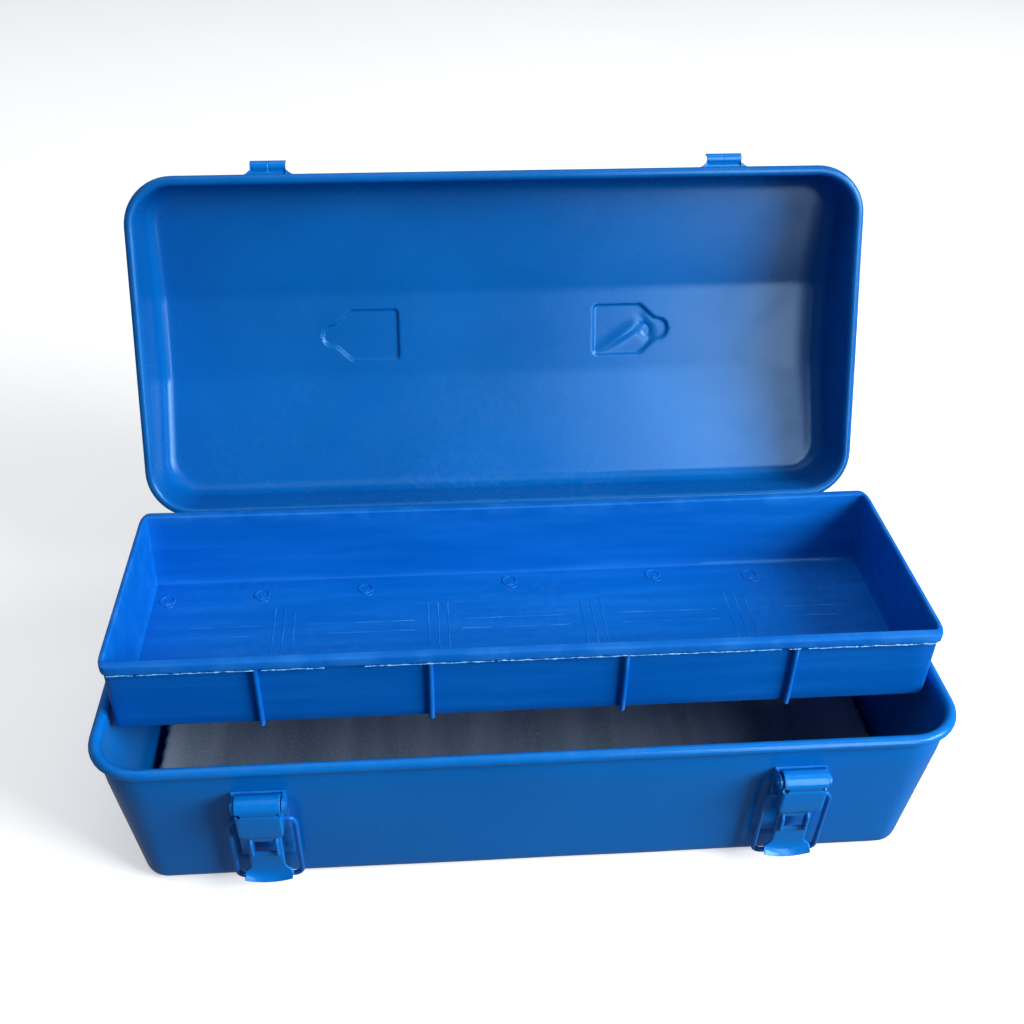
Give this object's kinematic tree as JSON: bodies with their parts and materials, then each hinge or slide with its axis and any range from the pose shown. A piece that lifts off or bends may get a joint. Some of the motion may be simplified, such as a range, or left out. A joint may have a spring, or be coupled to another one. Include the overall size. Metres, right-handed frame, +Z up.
{
  "type": "steel trunk tool box with lift-out tray",
  "caption": "Pressed steel trunk tool box with a hinged lid, lift-out plastic tray, mat, two draw latches and folding handle.",
  "frame": {"origin": "middle of the tub's underside, on the surface that it stands on", "axes": "+Z up; +X along the box, to the right seen from the latches; +Y from the latches to the hinges"},
  "size_m": [0.3596, 0.2567, 0.2461],
  "materials": {
    "blue_steel": "glossy enamel",
    "blue_steel_lid": "glossy enamel",
    "grey_mat": "matte foam",
    "blue_plastic": "matte moulded",
    "hinge_steel": "glossy enamel",
    "latch_steel": "glossy enamel",
    "pin_steel": "plated",
    "wire_steel": "glossy enamel",
    "grip_plastic": "matte"
  },
  "bodies": {
    "tub": {"base_tub": "blue_steel", "base_mat": "grey_mat", "tray_rest_left": "blue_steel", "tray_rest_right": "blue_steel", "hinge_tub_leaf_left": "hinge_steel", "hinge_tub_leaf_right": "hinge_steel", "hinge_pin_left": "pin_steel", "hinge_pin_right": "pin_steel", "latch_plate_left": "latch_steel", "latch_plate_right": "latch_steel", "latch_pin_left": "pin_steel", "latch_pin_right": "pin_steel"},
    "tray": {"tray": "blue_plastic"},
    "lid": {"lid_shell": "blue_steel_lid", "hinge_lid_leaf_left": "hinge_steel", "hinge_lid_leaf_right": "hinge_steel", "keeper_left": "blue_steel_lid", "keeper_right": "blue_steel_lid", "handle_bracket_left": "blue_steel_lid", "handle_bracket_right": "blue_steel_lid"},
    "latch_left": {"latch_lever_left": "latch_steel"},
    "latch_right": {"latch_lever_right": "latch_steel"},
    "bail_left": {"latch_bail_left": "wire_steel"},
    "bail_right": {"latch_bail_right": "wire_steel"},
    "handle": {"handle_rod": "wire_steel", "handle_grip": "grip_plastic"}
  },
  "joints": [
    {"name": "lid_hinge", "type": "hinge", "parent": "tub", "child": "lid", "pos_m": [0, 0.0872, 0.0792], "axis": [1, 0, 0], "range_deg": [0, 107.6]},
    {"name": "tray_lift", "type": "slide", "parent": "tub", "child": "tray", "axis": [0, 0, -1], "range_m": [-0.12, 0]},
    {"name": "lever_left_turn", "type": "hinge", "parent": "tub", "child": "latch_left", "pos_m": [-0.111, -0.08583, 0.06062], "axis": [1, 0, 0], "range_deg": [-115, 0]},
    {"name": "bail_left_swing", "type": "hinge", "parent": "latch_left", "child": "bail_left", "pos_m": [-0.111, -0.08264, 0.04948], "axis": [-1, 0, 0], "range_deg": [0, 181.56]},
    {"name": "lever_right_turn", "type": "hinge", "parent": "tub", "child": "latch_right", "pos_m": [0.111, -0.08583, 0.06062], "axis": [1, 0, 0], "range_deg": [-115, 0]},
    {"name": "bail_right_swing", "type": "hinge", "parent": "latch_right", "child": "bail_right", "pos_m": [0.111, -0.08264, 0.04948], "axis": [-1, 0, 0], "range_deg": [0, 181.56]},
    {"name": "handle_swing", "type": "hinge", "parent": "lid", "child": "handle", "pos_m": [0, 0.16094, 0.14729], "axis": [1, 0, 0], "range_deg": [-17.6, 162.4]}
  ]
}
